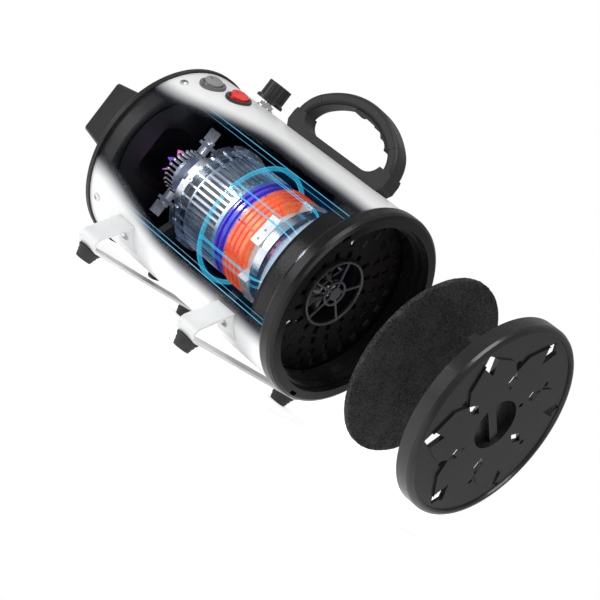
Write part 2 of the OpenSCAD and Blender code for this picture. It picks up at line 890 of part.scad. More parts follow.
module field_coils() {
  turn = (m_bobbin - m_copper - 1.2) / 4;
  color([0.86, 0.4, 0.14])
    difference() {
      union() {
        band(m_copper, m_bobbin, core_r - 3, 29);
        for (k = [0 : 3])
          band(m_copper + 1.4 + k * turn, m_copper + 5 + k * turn, core_r + 1, core_r - 6);
      }
      around(10, 18)
        translate([-1, m_copper + 1, core_r - 8]) cube([2, m_bobbin - m_copper, 12]);
    }
}

module coil_blocks() {
  color([0.88, 0.86, 0.8])
    difference() {
      union() {
        band(m_bobbin, m_plate, core_r - 8, 29);
        around(5, 10)
          translate([-14, m_bobbin + 0.5, core_r - 12]) cube([28, m_plate - m_bobbin - 1, 12.6]);
      }
      around(5, 10)
        for (x = [-9, 0, 9])
          translate([x, m_bobbin + 6, core_r - 2]) cylinder(h = 8, r = 1.2, $fn = 16);
    }
}

module bearing_plate() {
  color([0.76, 0.78, 0.82])
    difference() {
      union() {
        band(m_plate, m_plate + 3, core_r, 12);
        band(m_plate, m_plate + 9, core_r, core_r - 3);
        band(m_plate, m_plate + 7, 27, 24);
        band(m_plate, m_plate + 5, 15, 12);
        around(6)
          translate([-4, m_plate, 26]) cube([8, 7, core_r - 28]);
      }
      for (k = [0 : 2])
        for (a = [17, 30, 43])
          around(6, a)
            translate([0, m_plate - 1, 30.5 + k * 5]) rotate([-90, 0, 0]) cylinder(h = 12, r = 1.5, $fn = 16);
      around(36)
        translate([-0.8, m_plate + 3.6, 23]) cube([1.6, 2, 2.4]);
      around(16)
        translate([0, m_plate - 1, 19.5]) rotate([-90, 0, 0]) cylinder(h = 8, r = 1.5, $fn = 16);
    }
}

module rear_bearing() {
  color([0.75, 0.76, 0.78]) ball_bearing(m_plate + 1, 5, 12 - slip, shaft_r + 0.05);
}

module motor_shaft() {
  color([0.7, 0.71, 0.73])
    disc(m_tip + 4, m_fan + 21, shaft_r);
}

module armature() {
  color([0.35, 0.36, 0.4])
    difference() {
      disc(m_core + 2, m_coil - 2, 28.7);
      disc(m_core, m_coil, shaft_r + 0.02);
      around(16)
        translate([-1.6, m_core, 22]) cube([3.2, m_coil - m_core, 8]);
    }
}

module armature_winding() {
  color([0.8, 0.42, 0.16])
    for (y = [m_core - 7, m_coil - 2])
      difference() {
        lathe([[12, y], [22, y], [25, y + 3], [25, y + 6], [22, y + 9], [12, y + 9]]);
        around(16)
          translate([-0.7, y - 1, 21]) cube([1.4, 11, 6]);
      }
}

module commutator() {
  color([0.85, 0.6, 0.35])
    difference() {
      union() {
        disc(m_comm, m_skirt, comm_r);
        disc(m_comm, m_comm + 1.4, comm_r + 0.9);
      }
      disc(m_comm - 1, m_skirt + 1, shaft_r + 0.02);
      around(26)
        translate([-0.9, m_comm + 1.2, comm_r - 1.4]) cube([1.8, 8.2, 3]);
      around(26)
        translate([-0.5, m_comm - 1, comm_r - 0.8]) cube([1, 3, 3]);
    }
}

// Grey cone that narrows from the commutator to the neck
module commutator_skirt() {
  color([0.42, 0.45, 0.5])
    difference() {
      lathe([[shaft_r + 0.02, m_skirt], [comm_r - 0.6, m_skirt], [comm_r - 2.4, m_skirt + 2],
             [13, m_skirt + 4.6], [10.6, m_skirt + 7], [10, m_neck - 0.8], [shaft_r + 0.02, m_neck - 0.8]]);
      around(6)
        translate([-1.4, m_skirt + 0.8, 14]) cube([2.8, 3, 8]);
    }
}

module nose_spinner() {
  color([0.9, 0.25, 0.6])
    difference() {
      union() {
        lathe([[0, m_tip], [4.6, m_tip + 0.6], [8.6, m_tip + 2.6], [11, m_tip + 5.4],
               [12, m_tip + 8], [16.5, m_tip + 9], [16.5, m_tip + 11.4], [0, m_tip + 11.4]]);
        around(9)
          translate([0, m_tip + 6.6, 10])
            rotate([0, 0, 32]) translate([-0.6, -3.6, 0]) cube([1.2, 6.4, 7]);
      }
      disc(m_tip + 3.9, m_tip + 12, shaft_r + 0.02);
    }
}

module impeller() {
  color([0.8, 0.3, 0.5])
    difference() {
      union() {
        lathe([[0, m_hub + 1.4], [9, m_hub + 1.4], [9.6, m_hub + 8], [11.6, m_hub + 14], [15.4, m_hub + 19],
               [21, m_hub + 22.6], [22, m_hub + 24], [21, m_fan + 3], [12, m_fan + 13], [7, m_fan + 16],
               [0, m_fan + 16]]);
        intersection() {
          around(blade_count)
            translate([0, m_fan + 7, 8])
              rotate([0, 0, -38]) translate([-0.8, -9, 0]) cube([1.6, 18, fan_r]);
          disc(m_fan + 1.4, m_fan + 14, fan_r);
        }
      }
      disc(m_hub, m_fan + 17, shaft_r + 0.02);
    }
}

module fan_nut() {
  color([0.75, 0.75, 0.78])
    difference() {
      translate([0, m_fan + 16, 0]) rotate([-90, 0, 0]) cylinder(h = 3.6, r = 6.4, $fn = 6);
      disc(m_fan + 15, m_fan + 21, shaft_r + 0.02);
    }
}

// ---- filter and rear cover ----

module foam_filter() {
  color([0.05, 0.05, 0.05])
    disc(foam_y, foam_y + foam_t, foam_r);
}

// Four-sided opening with its long axis along X and Z radial
module kite(w, up, down) {
  polygon([[0, up], [w, 0], [0, -down], [-w, 0]]);
}

// Points of one tooth of the star, whose tip lies at angle a from the top
function star_tooth(a, k) =
  [for (p = [[-21, 61], [0, 78], [21, 61], [30, 49]])
    [sin(a + p[0]) * p[1] * k, cos(a + p[0]) * p[1] * k]];

module rear_cover() {
  y0 = cover_y;
  y1 = cover_y + cover_t;
  r = cover_r;
  k = cover_r / 87;
  field_y = y1 - star_rise;
  color([0.17, 0.17, 0.175])
    difference() {
      union() {
        lathe([[0, y1 - plate_t], [cover_in_r, y1 - plate_t], [cover_in_r, y0], [r, y0], [r, y1 - 4.4],
               [r - 0.8, y1 - 2.2], [r - 2.2, y1 - 0.6], [r - 4, y1], [r - 6, y1], [r - 6.6, field_y],
               [0, field_y]]);
        around(3, 180)
          translate([-3.6, y0 - 6, lug_r - 1.4]) cube([7.2, 6 + eps, 2.8]);
        slab(field_y - eps, y1)
          polygon([for (i = [0 : 5]) each star_tooth(i * 60, k)]);
        disc(y1 - 9.5, y1 - plate_t + eps, 25 * k);
      }
      // six inner diamonds
      around(6, 30)
        slab(y1 - 20, y1 + 2)
          translate([0, 40 * k]) kite(5 * k, 8.6 * k, 8.6 * k);
      // six outer openings in the star's tips
      around(6)
        slab(y1 - 20, y1 + 2)
          translate([0, 71 * k]) kite(7 * k, 8 * k, 13 * k);
      // small pockets in the star's inner corners
      around(6, 30)
        slab(y1 - 2.6, y1 + 2)
          translate([0, 56 * k]) kite(2.6 * k, 2 * k, 5 * k);
      // round cup at the centre
      disc(y1 - 8, y1 + 2, 22 * k);
      slab(y1 - 3, y1 + 2)
        rotate(30) translate([0, 27 * k]) soft_rect(3.4, 4.4, 1.6);
    }
  // bar across the cup to pull the cover by
  color([0.17, 0.17, 0.175])
    difference() {
      slab(y1 - 8.2, y1 - 3) rotate(30) square([44.6 * k, 8 * k], center = true);
      band(y1 - 9, y1 + 1, 40 * k, 22.1 * k);
    }
}
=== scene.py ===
"""Looks of a cylindrical car dryer blower: finishes, foam filter, light, floor and camera."""

import logging
import math
from dataclasses import dataclass
from enum import Enum
from typing import Callable, Optional, Sequence, Union

import bmesh
import bpy
from mathutils import Matrix, Vector, noise


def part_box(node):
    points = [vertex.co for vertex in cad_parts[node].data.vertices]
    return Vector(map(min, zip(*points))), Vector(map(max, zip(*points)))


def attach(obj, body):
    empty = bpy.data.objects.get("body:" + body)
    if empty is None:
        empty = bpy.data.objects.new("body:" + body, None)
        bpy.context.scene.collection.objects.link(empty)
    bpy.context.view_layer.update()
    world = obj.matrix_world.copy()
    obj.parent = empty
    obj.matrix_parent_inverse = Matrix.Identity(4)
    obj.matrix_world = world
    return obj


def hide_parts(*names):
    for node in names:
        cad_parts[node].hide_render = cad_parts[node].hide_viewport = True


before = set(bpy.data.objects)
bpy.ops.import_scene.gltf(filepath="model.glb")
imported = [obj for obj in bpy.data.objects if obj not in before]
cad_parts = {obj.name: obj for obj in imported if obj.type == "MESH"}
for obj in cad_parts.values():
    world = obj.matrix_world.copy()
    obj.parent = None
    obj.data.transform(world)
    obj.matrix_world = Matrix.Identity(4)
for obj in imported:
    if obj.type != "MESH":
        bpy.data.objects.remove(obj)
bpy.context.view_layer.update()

LOG = logging.getLogger("blower")

# Angle and half width, in degrees, of the painted glowing lines on the open side and on the motor tube
WINDOW_GLOW_LINES = ((126.5, 0.55), (123.5, 0.25), (49.0, 0.5), (52.5, 0.25))
TUBE_GLOW_LINES = ((38, 0.9), (66, 0.5), (74, 0.7), (124, 0.8), (131, 0.4))
# Middle of the open side and its half width at the front and the rear, in degrees from the top
WINDOW_MIDDLE = 86
WINDOW_HALF_FRONT = 31
WINDOW_HALF_REAR = 51
# Distances from the body tube's front end, in metres
WINDOW_TAPER = 0.135
MOUTH = 0.1172
TAIL = 0.193
# Depth under the tube's outside where its inner face begins, in metres
SKIN = 0.0007
# Dark navy painted on the shell's inner face and on the open side's edge: painted shade of the tube's dark
# inside
SHADE_NAVY = (0.0035, 0.006, 0.016)
BLACK = (0.0, 0.0, 0.0)
CYAN = (0.04, 0.62, 0.95)

Colour = tuple[float, float, float]
Socket = bpy.types.NodeSocket
Value = Union[float, Colour, Vector, Socket]


class Surface(Enum):
    """Which way a finish's fine texture is laid."""

    PLAIN = "plain"
    BRUSHED = "brushed"
    TURNED = "turned"
    WOUND = "wound"


class Glow(Enum):
    """How a piece gives off painted glow: emission that stands in for the light on it, though it is no lamp.
    """

    NONE = "none"
    BANDS = "bands"
    SWIRL = "swirl"
    MOTTLED = "heat"


@dataclass(frozen=True)
class Layout:
    """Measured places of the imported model, in metres.

    Args:
        axis_z: Height of the blower's axis.
        shell_front: Y of the tube's front end.
        shell_rear: Y of the tube's rear end.
        shell_radius: Outside radius of the tube.
        floor_z: Height of the soles of the feet.
    """

    axis_z: float
    shell_front: float
    shell_rear: float
    shell_radius: float
    floor_z: float

    @classmethod
    def measure(cls) -> "Layout":
        """Reads the places from the frame."""
        low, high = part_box("barrel_shell")
        foot_low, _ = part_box("rubber_feet")
        return cls(
            axis_z=(low.z + high.z) / 2,
            shell_front=low.y,
            shell_rear=high.y,
            shell_radius=(high.x - low.x) / 2,
            floor_z=foot_low.z,
        )

    @property
    def middle(self) -> Vector:
        """Point on the axis half-way along the tube."""
        return Vector((0, (self.shell_front + self.shell_rear) / 2, self.axis_z))


class Graph:
    """Thin layer over a node tree, so that materials read as a list of steps."""

    def __init__(self, tree: bpy.types.NodeTree) -> None:
        """Keeps the tree that nodes are added to."""
        self.tree = tree

    def put(self, socket: Socket, value: Value) -> None:
        """Links a socket or sets a plain value on an input."""
        if isinstance(value, bpy.types.NodeSocket):
            self.tree.links.new(value, socket)
        elif isinstance(value, (int, float)):
            socket.default_value = value
        elif len(socket.default_value) == 4:
            socket.default_value = (*value, 1.0)
        else:
            socket.default_value = tuple(value)

    def node(self, kind: str, **inputs: Value) -> bpy.types.Node:
        """Adds a node and fills its inputs.

        Args:
            kind: Blender's name of the node type.
            **inputs: Values by input name, with underscores for spaces.

        Returns:
            The new node.
        """
        made = self.tree.nodes.new(kind)
        for name, value in inputs.items():
            self.put(made.inputs[name.replace("_", " ")], value)
        return made

    def math(self, operation: str, *values: Value, clamp: bool = False) -> Socket:
        """Adds a Math node.

        Args:
            operation: Blender's name of the operation.
            *values: Its operands in order.
            clamp: Whether the result is held between 0 and 1.

        Returns:
            The result's socket.
        """
        made = self.tree.nodes.new("ShaderNodeMath")
        made.operation = operation
        made.use_clamp = clamp
        for socket, value in zip(made.inputs, values):
            self.put(socket, value)
        return made.outputs[0]

    def remap(self, value: Value, low: float, high: float, to_low: float = 0.0,
              to_high: float = 1.0) -> Socket:
        """Maps a range smoothly onto another and holds it there.

        Args:
            value: The input.
            low: Input that gives to_low.
            high: Input that gives to_high.
            to_low: First output value.
            to_high: Last output value.

        Returns:
            The mapped value's socket.
        """
        made = self.tree.nodes.new("ShaderNodeMapRange")
        made.interpolation_type = "SMOOTHSTEP"
        for name, item in (("Value", value), ("From Min", low), ("From Max", high),
                           ("To Min", to_low), ("To Max", to_high)):
            self.put(made.inputs[name], item)
        return made.outputs["Result"]

    def mix(self, factor: Value, first: Value, second: Value, blend: str = "MIX") -> Socket:
        """Mixes two colours.

        Args:
            factor: Share of the second colour.
            first: Colour at 0.
            second: Colour at 1.
            blend: Blender's name of the blend mode.

        Returns:
            The mixed colour's socket.
        """
        made = self.tree.nodes.new("ShaderNodeMix")
        made.data_type = "RGBA"
        made.blend_type = blend
        self.put(made.inputs["Factor"], factor)
        self.put(made.inputs["A"], first)
        self.put(made.inputs["B"], second)
        return made.outputs["Result"]

    def noise(self, vector: Value, scale: float, detail: float = 3.0, rough: float = 0.55) -> Socket:
        """Adds a noise texture and returns its value."""
        made = self.node("ShaderNodeTexNoise", Vector=vector, Scale=scale, Detail=detail, Roughness=rough)
        return made.outputs[0]

    def lines(self, angle: Socket, places: Sequence[tuple[float, float]], core: float) -> Socket:
        """Draws thin lines along the axis.

        Args:
            angle: Angle about the axis, in radians.
            places: Angle and half width of each line, in degrees.
            core: Share of the half width that is full strength.

        Returns:
            A mask that is 1 on the lines.
        """
        mask: Optional[Socket] = None
        for middle, width in places:
            off = self.math("ABSOLUTE", self.math("SUBTRACT", angle, math.radians(middle)))
            line = self.remap(off, math.radians(width), math.radians(width * core))
            mask = line if mask is None else self.math("MAXIMUM", mask, line)
        return mask

    def group(self, tree: bpy.types.NodeTree, **inputs: Value) -> bpy.types.Node:
        """Places a shared node group and fills its inputs."""
        made = self.tree.nodes.new("ShaderNodeGroup")
        made.node_tree = tree
        for name, value in inputs.items():
            self.put(made.inputs[name.replace("_", " ")], value)
        return made


def new_group(name: str, inputs: Sequence[tuple[str, str, Optional[float]]],
              outputs: Sequence[tuple[str, str]]) -> tuple[Graph, bpy.types.Node, bpy.types.Node]:
    """Starts a shader node group.

    Args:
        name: Name of the group.
        inputs: Name, socket kind and default of each input.
        outputs: Name and socket kind of each output.

    Returns:
        Its graph, its input node and its output node.
    """
    tree = bpy.data.node_groups.new(name, "ShaderNodeTree")
    for label, kind, default in inputs:
        socket = tree.interface.new_socket(label, in_out="INPUT", socket_type=f"NodeSocket{kind}")
        if default is not None:
            socket.default_value = default
    for label, kind in outputs:
        tree.interface.new_socket(label, in_out="OUTPUT", socket_type=f"NodeSocket{kind}")
    graph = Graph(tree)
    return graph, tree.nodes.new("NodeGroupInput"), tree.nodes.new("NodeGroupOutput")


class Effects:
    """Shader node groups that several finishes share, each built once."""

    def __init__(self, layout: Layout) -> None:
        """Builds every group for the measured layout."""
        self.layout = layout
        self.polar = self._polar()
        self.grain = self._grain()
        self.handling = self._handling()
        self.window = self._window()

    def _polar(self) -> bpy.types.NodeTree:
        """Angle about the blower's axis, radius from it and place along it."""
        graph, given, out = new_group("polar_place", [("Vector", "Vector", None)],
                                      [("Angle", "Float"), ("Radius", "Float"), ("Along", "Float"),
                                       ("Unrolled", "Vector")])
        split = graph.node("ShaderNodeSeparateXYZ", Vector=given.outputs["Vector"])
        rise = graph.math("SUBTRACT", split.outputs["Z"], self.layout.axis_z)
        angle = graph.math("ARCTAN2", split.outputs["X"], rise)
        squares = graph.math("ADD", graph.math("MULTIPLY", split.outputs["X"], split.outputs["X"]),
                             graph.math("MULTIPLY", rise, rise))
        radius = graph.math("SQRT", squares)
        unrolled = graph.node("ShaderNodeCombineXYZ", X=angle, Y=split.outputs["Y"], Z=radius)
        graph.put(out.inputs["Angle"], angle)
        graph.put(out.inputs["Radius"], radius)
        graph.put(out.inputs["Along"], split.outputs["Y"])
        graph.put(out.inputs["Unrolled"], unrolled.outputs[0])
        return graph.tree

    def _grain(self) -> bpy.types.NodeTree:
        """Fine moulded or sprayed texture as a height and a slow change of tone."""
        graph, given, out = new_group("fine_grain", [("Vector", "Vector", None), ("Scale", "Float", 900.0)],
                                      [("Height", "Float"), ("Tone", "Float")])
        made = graph.node("ShaderNodeTexVoronoi", Vector=given.outputs["Vector"],
                          Scale=given.outputs["Scale"])
        fine = graph.node("ShaderNodeTexNoise", Vector=given.outputs["Vector"], Scale=given.outputs["Scale"],
                          Detail=4.0, Roughness=0.6)
        height = graph.math("ADD", graph.math("MULTIPLY", made.outputs["Distance"], 0.5),
                            graph.math("MULTIPLY", fine.outputs[0], 0.5))
        graph.put(out.inputs["Height"], height)
        graph.put(out.inputs["Tone"], graph.noise(given.outputs["Vector"], 14.0, 4.0, 0.6))
        return graph.tree

    def _handling(self) -> bpy.types.NodeTree:
        """Rub marks and settled dust as masks."""
        graph, given, out = new_group("handling_marks",
                                      [("Vector", "Vector", None), ("Amount", "Float", 0.3)],
                                      [("Rub", "Float"), ("Dust", "Float")])
        cloud = graph.noise(given.outputs["Vector"], 38.0, 6.0, 0.7)
        streak_place = graph.node("ShaderNodeMapping", Vector=given.outputs["Vector"],
                                  Scale=(220.0, 18.0, 90.0))
        streak = graph.noise(streak_place.outputs[0], 1.0, 3.0, 0.5)
        rub = graph.math("MULTIPLY", graph.remap(cloud, 0.5, 0.74), graph.remap(streak, 0.52, 0.7))
        graph.put(out.inputs["Rub"], graph.math("MULTIPLY", rub, given.outputs["Amount"], clamp=True))
        facing = graph.node("ShaderNodeNewGeometry")
        up = graph.node("ShaderNodeSeparateXYZ", Vector=facing.outputs["Normal"])
        settled = graph.math("MULTIPLY", graph.remap(up.outputs["Z"], 0.4, 1.0),
                             graph.remap(cloud, 0.35, 0.7))
        graph.put(out.inputs["Dust"], graph.math("MULTIPLY", settled, given.outputs["Amount"], clamp=True))
        return graph.tree

    def _window(self) -> bpy.types.NodeTree:
        """See-through side: where the paint turns dark as painted shade, how clear the wall becomes, which
        faces are the tube's inside (painted dark as shade) and where painted glowing lines run.
        """
        place = self.layout
        graph, given, out = new_group("see_through_side", [("Vector", "Vector", None)],
                                      [("Shade", "Float"), ("Clear", "Float"), ("Inside", "Float"),
                                       ("Glow_Lines", "Float")])
        polar = graph.group(self.polar, Vector=given.outputs["Vector"])
        along = polar.outputs["Along"]
        half = graph.remap(along, place.shell_front + 0.002, place.shell_front + WINDOW_TAPER,
                           math.radians(WINDOW_HALF_FRONT), math.radians(WINDOW_HALF_REAR))
        off = graph.math("ABSOLUTE", graph.math("SUBTRACT", polar.outputs["Angle"],
                                                math.radians(WINDOW_MIDDLE)))
        depth = graph.math("SUBTRACT", half, off)
        sway = graph.math("SUBTRACT", graph.noise(given.outputs["Vector"], 9.0, 2.0), 0.5)
        wobble = graph.math("MULTIPLY", sway, math.radians(5))
        depth = graph.math("ADD", depth, wobble)
        ends = graph.remap(along, place.shell_front - 0.012, place.shell_front - 0.002)
        # Painted shade: the paint turns dark towards the middle of the open side
        dark = graph.math("MULTIPLY", graph.remap(depth, math.radians(-7), math.radians(7)), ends)
        clear = graph.math("MULTIPLY", graph.remap(depth, math.radians(2), math.radians(10)), ends)
        graph.put(out.inputs["Shade"], dark)
        graph.put(out.inputs["Clear"], clear)
        # The tube's inner face, which is painted dark as shade
        inside = graph.math("LESS_THAN", polar.outputs["Radius"], place.shell_radius - SKIN)
        graph.put(out.inputs["Inside"], inside)
        # Painted glow: bright lines along the open side, drawn by emission
        streak = graph.lines(polar.outputs["Angle"], WINDOW_GLOW_LINES, 0.2)
        fade = graph.remap(along, place.shell_front + 0.03, place.shell_front + 0.09)
        streak = graph.math("MULTIPLY", graph.math("MULTIPLY", streak, fade), dark)
        graph.put(out.inputs["Glow_Lines"], graph.math("MULTIPLY", streak, graph.math("SUBTRACT", 1.0, inside)))
        return graph.tree


@dataclass(frozen=True)
class Finish:
    """One finish of the blower, as numbers that the painter turns into a material.

    Args:
        name: Name of the material.
        colour: Main colour.
        second: Colour that the slow tone change leads to.
        rough: Middle roughness.
        rough_span: How far the roughness moves either way.
        metal: Metallic share.
        coat: Clear coat weight.
        surface: Which way the fine texture is laid.
        grain: Fine texture's scale, in cells per metre.
        relief: Height of the fine texture, in metres.
        wear: Amount of rub marks and dust.
        wear_colour: Colour that rubbed places take.
        glow: How the piece gives off painted glow.
        glow_colour: Colour of that light.
        glow_second: Second colour of that light.
        glow_power: Strength of that light.
        glow_reach: Distance from the tube's front end past which the painted glow stops and the colour turns
            near black as painted shade, in metres.
        see_through: Whether the finish fades on the open side, with painted shade on its edge and on the
            inner face, and painted glowing lines there.
        specular: Specular level.
    """

    name: str
    colour: Colour
    second: Colour
    rough: float
    rough_span: float = 0.08
    metal: float = 0.0
    coat: float = 0.0
    surface: Surface = Surface.PLAIN
    grain: float = 1400.0
    relief: float = 0.00002
    wear: float = 0.2
    wear_colour: Colour = (0.3, 0.3, 0.3)
    glow: Glow = Glow.NONE
    glow_colour: Colour = BLACK
    glow_second: Colour = BLACK
    glow_power: float = 0.0
    glow_reach: float = 1.0
    see_through: bool = False
    specular: float = 0.5


class Painter:
    """Turns finishes into node materials and puts them on pieces."""

    def __init__(self, effects: Effects) -> None:
        """Keeps the shared effects."""
        self.effects = effects
        self.made: dict[str, bpy.types.Material] = {}

    def _texture_place(self, graph: Graph, finish: Finish, base: Socket) -> Socket:
        """Stretches texture space the way the finish's surface is worked.

        Args:
            graph: The material's graph.
            finish: The finish.
            base: Object coordinates.

        Returns:
            Coordinates for the fine texture.
        """
        stretch = {
            Surface.BRUSHED: (1.0, 0.03, 1.0),
            Surface.WOUND: (0.15, 1.6, 0.15),
        }.get(finish.surface)
        if finish.surface is Surface.TURNED:
            polar = graph.group(self.effects.polar, Vector=base)
            return graph.node("ShaderNodeMapping", Vector=polar.outputs["Unrolled"],
                              Scale=(0.004, 1.0, 1.0)).outputs[0]
        if stretch is None:
            return base
        return graph.node("ShaderNodeMapping", Vector=base, Scale=stretch).outputs[0]

    def _light(self, graph: Graph, finish: Finish, base: Socket) -> Socket:
        """Colour of the painted glow that a piece gives off in place of the light on it.

        Args:
            graph: The material's graph.
            finish: The finish.
            base: Object coordinates.

        Returns:
            The emission colour's socket.
        """
        polar = graph.group(self.effects.polar, Vector=base)
        if finish.glow is Glow.BANDS:
            turns = graph.math("SINE", graph.math("MULTIPLY", polar.outputs["Along"], 1150.0))
            share = graph.remap(turns, -0.2, 0.9)
        elif finish.glow is Glow.SWIRL:
            spin = graph.math("ADD", graph.math("MULTIPLY", polar.outputs["Angle"], 3.0),
                              graph.math("MULTIPLY", polar.outputs["Along"], 420.0))
            stir = graph.math("MULTIPLY", graph.noise(base, 130.0, 4.0), 5.0)
            share = graph.remap(graph.math("SINE", graph.math("ADD", spin, stir)), -0.5, 0.8)
        else:
            # Painted glow in random patches
            share = graph.remap(graph.noise(base, 60.0, 4.0), 0.35, 0.7)
        light = graph.mix(share, finish.glow_second, finish.glow_colour)
        return graph.mix(self._shaded_beyond(graph, finish, polar), light, BLACK)

    def _shaded_beyond(self, graph: Graph, finish: Finish, polar: bpy.types.Node) -> Socket:
        """Share of painted shade, near-black colour without glow, that a piece takes past its glowing length.
        """
        stop = self.effects.layout.shell_front + finish.glow_reach
        return graph.remap(polar.outputs["Along"], stop - 0.003, stop)

    def material(self, finish: Finish) -> bpy.types.Material:
        """Builds a finish's material, once.

        Args:
            finish: The finish.

        Returns:
            The material.
        """
        if finish.name in self.made:
            return self.made[finish.name]
        material = bpy.data.materials.new(finish.name)
        material.use_nodes = True
        graph = Graph(material.node_tree)
        shader = material.node_tree.nodes["Principled BSDF"]
        base = graph.node("ShaderNodeTexCoord").outputs["Object"]
        grain = graph.group(self.effects.grain, Vector=self._texture_place(graph, finish, base),
                            Scale=finish.grain)
        marks = graph.group(self.effects.handling, Vector=base, Amount=finish.wear)
        colour = graph.mix(graph.remap(grain.outputs["Tone"], 0.35, 0.65), finish.colour, finish.second)
        colour = graph.mix(marks.outputs["Rub"], colour, finish.wear_colour)
        colour = graph.mix(graph.math("MULTIPLY", marks.outputs["Dust"], 0.5), colour, (0.42, 0.4, 0.37))
        rough = graph.remap(grain.outputs["Height"], 0.2, 0.8, finish.rough - finish.rough_span,
                            finish.rough + finish.rough_span)
        rough = graph.math("ADD", rough, graph.math("MULTIPLY", marks.outputs["Rub"], 0.15), clamp=True)
        # Painted shade: past its reach a piece's colour turns near black
        if finish.glow_reach < 1.0:
            polar = graph.group(self.effects.polar, Vector=base)
            colour = graph.mix(self._shaded_beyond(graph, finish, polar), colour, (0.002, 0.002, 0.003))
        if finish.see_through:
            window = graph.group(self.effects.window, Vector=base)
            # Painted shade: the open side's edge and the tube's inner face turn dark navy
            shade_mask = graph.math("MAXIMUM", window.outputs["Shade"], window.outputs["Inside"])
            colour = graph.mix(shade_mask, colour, SHADE_NAVY)
            solid = graph.math("SUBTRACT", 1.0, window.outputs["Clear"])
            graph.put(shader.inputs["Alpha"], graph.math("MAXIMUM", solid, window.outputs["Glow_Lines"]))
            # Painted glow on the lines along the open side
            graph.put(shader.inputs["Emission Color"],
                      graph.mix(window.outputs["Glow_Lines"], BLACK, (0.05, 0.5, 0.85)))
            shader.inputs["Emission Strength"].default_value = 0.9
        graph.put(shader.inputs["Base Color"], colour)
        graph.put(shader.inputs["Roughness"], rough)
        shader.inputs["Metallic"].default_value = finish.metal
        shader.inputs["Coat Weight"].default_value = finish.coat
        shader.inputs["Specular IOR Level"].default_value = finish.specular
        # Painted glow: emission on a piece that is no lamp
        if finish.glow is not Glow.NONE:
            graph.put(shader.inputs["Emission Color"], self._light(graph, finish, base))
            shader.inputs["Emission Strength"].default_value = finish.glow_power
        bump = graph.node("ShaderNodeBump", Height=grain.outputs["Height"], Strength=1.0,
                          Distance=finish.relief)
        graph.put(shader.inputs["Normal"], bump.outputs[0])
        self.made[finish.name] = material
        return material

    def clear_tube(self) -> bpy.types.Material:
        """Builds the motor tube's clear material, which gives off painted glow: bright lines along it,
        brighter ends and a faint blue over the rest.

        Returns:
            The material.
        """
        material = bpy.data.materials.new("clear_tube")
        material.use_nodes = True
        graph = Graph(material.node_tree)
        shader = material.node_tree.nodes["Principled BSDF"]
        base = graph.node("ShaderNodeTexCoord").outputs["Object"]
        polar = graph.group(self.effects.polar, Vector=base)
        lines = graph.lines(polar.outputs["Angle"], TUBE_GLOW_LINES, 0.25)
        front = self.effects.layout.shell_front
        along = polar.outputs["Along"]
        mouth = graph.remap(along, front + MOUTH + 0.001, front + MOUTH)
        tail = graph.remap(along, front + TAIL - 0.0015, front + TAIL)
        haze = graph.remap(graph.noise(base, 22.0, 3.0), 0.35, 0.75, 0.0, 0.05)
        edge = graph.node("ShaderNodeLayerWeight", Blend=0.12).outputs["Facing"]
        rim = graph.remap(edge, 0.5, 0.98, 0.0, 0.8)
        ends = graph.math("MULTIPLY", graph.math("MAXIMUM", mouth, tail), 0.42)
        alpha = graph.math("MAXIMUM", graph.math("MAXIMUM", haze, rim),
                           graph.math("MAXIMUM", graph.math("MULTIPLY", lines, 0.9), ends))
        graph.put(shader.inputs["Base Color"], (0.01, 0.06, 0.1))
        # Painted glow: faint blue over the tube, cyan on its lines and its front part, pale at its rear end
        light = graph.mix(graph.math("MAXIMUM", lines, mouth), (0.0, 0.13, 0.34), CYAN)
        graph.put(shader.inputs["Emission Color"], graph.mix(tail, light, (0.62, 0.8, 0.95)))
        shader.inputs["Emission Strength"].default_value = 1.0
        graph.put(shader.inputs["Roughness"], graph.remap(haze, 0.0, 0.05, 0.05, 0.2))
        graph.put(shader.inputs["Alpha"], alpha)
        return material

    def foam(self) -> bpy.types.Material:
        """Builds the filter's open-cell foam material.

        Returns:
            The material.
        """
        material = bpy.data.materials.new("open_cell_foam")
        material.use_nodes = True
        graph = Graph(material.node_tree)
        shader = material.node_tree.nodes["Principled BSDF"]
        base = graph.node("ShaderNodeTexCoord").outputs["Object"]
        cells = graph.node("ShaderNodeTexVoronoi", Vector=base, Scale=620.0, Randomness=1.0)
        small = graph.node("ShaderNodeTexVoronoi", Vector=base, Scale=1300.0, Randomness=1.0)
        pores = graph.remap(graph.math("ADD", graph.math("MULTIPLY", cells.outputs["Distance"], 0.6),
                                       graph.math("MULTIPLY", small.outputs["Distance"], 0.4)), 0.25, 0.62)
        patch = graph.remap(graph.noise(base, 45.0, 5.0, 0.7), 0.4, 0.62)
        colour = graph.mix(pores, (0.002, 0.002, 0.002), (0.035, 0.035, 0.034))
        specks = graph.remap(graph.noise(base, 900.0, 2.0), 0.62, 0.72)
        lit = graph.math("MAXIMUM", graph.math("MULTIPLY", patch, 0.18), graph.math("MULTIPLY", specks, 0.8))
        colour = graph.mix(lit, colour, (0.12, 0.12, 0.115))
        graph.put(shader.inputs["Base Color"], colour)
        graph.put(shader.inputs["Roughness"], graph.remap(pores, 0.0, 1.0, 1.0, 0.75))
        shader.inputs["Specular IOR Level"].default_value = 0.25
        bump = graph.node("ShaderNodeBump", Height=pores, Strength=1.0, Distance=0.0011)
        graph.put(shader.inputs["Normal"], bump.outputs[0])
        return material

